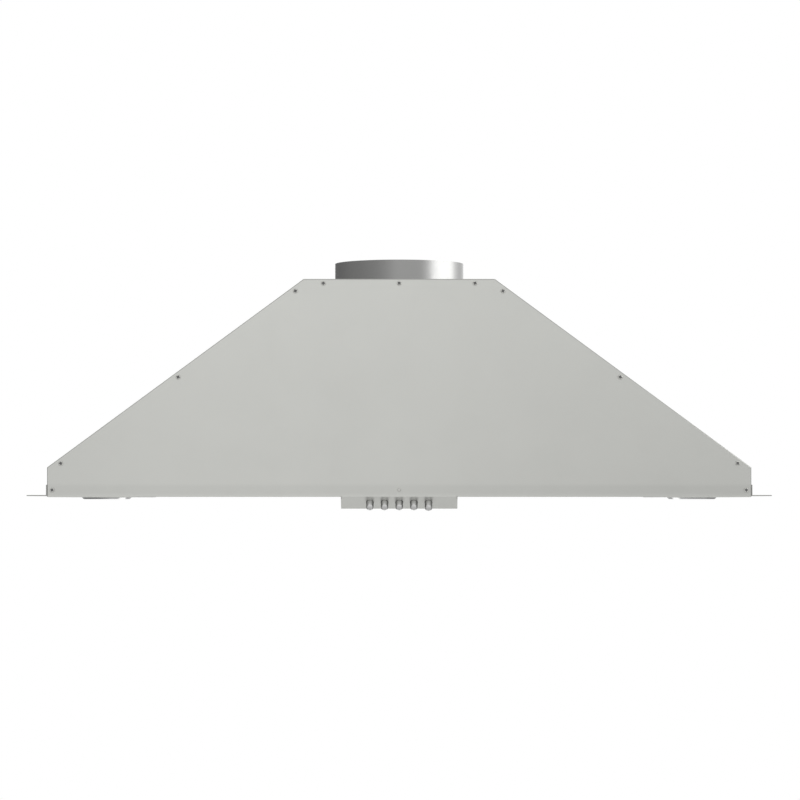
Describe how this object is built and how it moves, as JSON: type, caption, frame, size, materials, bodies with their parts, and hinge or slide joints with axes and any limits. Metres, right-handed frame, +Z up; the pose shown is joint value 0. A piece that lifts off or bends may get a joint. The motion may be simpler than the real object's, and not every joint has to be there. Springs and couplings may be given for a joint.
{
  "type": "range hood",
  "caption": "Wall mount range hood body: a tapered sheet steel shell with a round duct collar, side flanges, push buttons, lamps, baffle filters and an inner blower.",
  "frame": {"origin": "on the wall face, on the body's middle plane, at the height of the side flanges' seating face", "axes": "+X to the right seen from the front, -Y out of the front, +Y into the wall, +Z up"},
  "size_m": [1.118, 0.4833, 0.3878],
  "materials": {
    "shell_steel": "satin",
    "zinc_steel": "zinc coated",
    "screw_steel": "bright",
    "pin_steel": "ground",
    "flap_aluminium": "mill",
    "wheel_aluminium": "mill",
    "motor_paint": "satin",
    "capacitor_can": "satin",
    "lamp_aluminium": "cast",
    "bezel_steel": "satin",
    "frosted_glass": "frosted",
    "filter_steel": "satin",
    "handle_steel": "polished",
    "button_metal": "metallic satin",
    "black_plastic": "moulded",
    "white_plastic": "moulded"
  },
  "bodies": {
    "hood": {"front_panel": "shell_steel", "rear_panel": "shell_steel", "left_side_panel": "shell_steel", "right_side_panel": "shell_steel", "top_panel": "shell_steel", "front_rail": "shell_steel", "rear_rail": "shell_steel", "left_lamp_panel": "shell_steel", "right_lamp_panel": "shell_steel", "left_flange_angle": "shell_steel", "right_flange_angle": "shell_steel", "control_housing": "shell_steel", "duct_collar": "shell_steel", "scroll_side_left": "zinc_steel", "scroll_side_right": "zinc_steel", "scroll_band": "zinc_steel", "inlet_rings": "zinc_steel", "motor_bracket": "zinc_steel", "wiring_box": "zinc_steel", "wiring_box_cover": "zinc_steel", "front_screws": "screw_steel", "flange_screws": "screw_steel", "collar_screws": "screw_steel", "blower_screws": "screw_steel", "button_guide": "black_plastic", "switch_bank": "black_plastic", "cable_grommet": "black_plastic", "lamp_driver": "black_plastic", "terminal_block": "white_plastic", "damper_pin": "pin_steel", "motor_bearings": "pin_steel", "filter_catches": "pin_steel", "motor_body": "motor_paint", "run_capacitor": "capacitor_can", "lamp_bezel_left": "bezel_steel", "lamp_bezel_right": "bezel_steel", "lamp_lens_left": "frosted_glass", "lamp_lens_right": "frosted_glass", "lamp_body_left": "lamp_aluminium", "lamp_body_right": "lamp_aluminium"},
    "damper_flap_left": {"damper_flap_left": "flap_aluminium"},
    "damper_flap_right": {"damper_flap_right": "flap_aluminium"},
    "impeller": {"impeller": "wheel_aluminium", "impeller_blades": "wheel_aluminium", "impeller_hub": "wheel_aluminium", "motor_shaft": "pin_steel"},
    "filter_left": {"filter_left_frame": "filter_steel", "filter_left_baffles": "filter_steel", "filter_left_handle": "handle_steel"},
    "filter_middle": {"filter_middle_frame": "filter_steel", "filter_middle_baffles": "filter_steel", "filter_middle_handle": "handle_steel"},
    "filter_right": {"filter_right_frame": "filter_steel", "filter_right_baffles": "filter_steel", "filter_right_handle": "handle_steel"},
    "button_off": {"button_off": "button_metal"},
    "button_low": {"button_low": "button_metal"},
    "button_medium": {"button_medium": "button_metal"},
    "button_high": {"button_high": "button_metal"},
    "button_light": {"button_light": "button_metal"}
  },
  "joints": [
    {"name": "button_off_push", "type": "slide", "parent": "hood", "child": "button_off", "axis": [0, 0.7071, 0.7071], "range_m": [0, 0.003], "stiffness_N_per_m": 400, "springref_m": -0.001},
    {"name": "button_low_push", "type": "slide", "parent": "hood", "child": "button_low", "axis": [0, 0.7071, 0.7071], "range_m": [0, 0.003], "stiffness_N_per_m": 400, "springref_m": -0.001},
    {"name": "button_medium_push", "type": "slide", "parent": "hood", "child": "button_medium", "axis": [0, 0.7071, 0.7071], "range_m": [0, 0.003], "stiffness_N_per_m": 400, "springref_m": -0.001},
    {"name": "button_high_push", "type": "slide", "parent": "hood", "child": "button_high", "axis": [0, 0.7071, 0.7071], "range_m": [0, 0.003], "stiffness_N_per_m": 400, "springref_m": -0.001},
    {"name": "button_light_push", "type": "slide", "parent": "hood", "child": "button_light", "axis": [0, 0.7071, 0.7071], "range_m": [0, 0.003], "stiffness_N_per_m": 400, "springref_m": -0.001},
    {"name": "damper_left_swing", "type": "hinge", "parent": "hood", "child": "damper_flap_left", "pos_m": [0, -0.24, 0.32856], "axis": [0, 1, 0], "range_deg": [0, 75]},
    {"name": "damper_right_swing", "type": "hinge", "parent": "hood", "child": "damper_flap_right", "pos_m": [0, -0.24, 0.32856], "axis": [0, -1, 0], "range_deg": [0, 75]},
    {"name": "impeller_spin", "type": "hinge", "parent": "hood", "child": "impeller", "pos_m": [0, -0.1575, 0.19], "axis": [1, 0, 0], "continuous": true},
    {"name": "filter_left_drop", "type": "hinge", "parent": "hood", "child": "filter_left", "pos_m": [-0.26653, -0.045, 0.0122], "axis": [1, 0, 0], "range_deg": [0, 70]},
    {"name": "filter_middle_drop", "type": "hinge", "parent": "hood", "child": "filter_middle", "pos_m": [0, -0.045, 0.0122], "axis": [1, 0, 0], "range_deg": [0, 70]},
    {"name": "filter_right_drop", "type": "hinge", "parent": "hood", "child": "filter_right", "pos_m": [0.26653, -0.045, 0.0122], "axis": [1, 0, 0], "range_deg": [0, 70]}
  ]
}
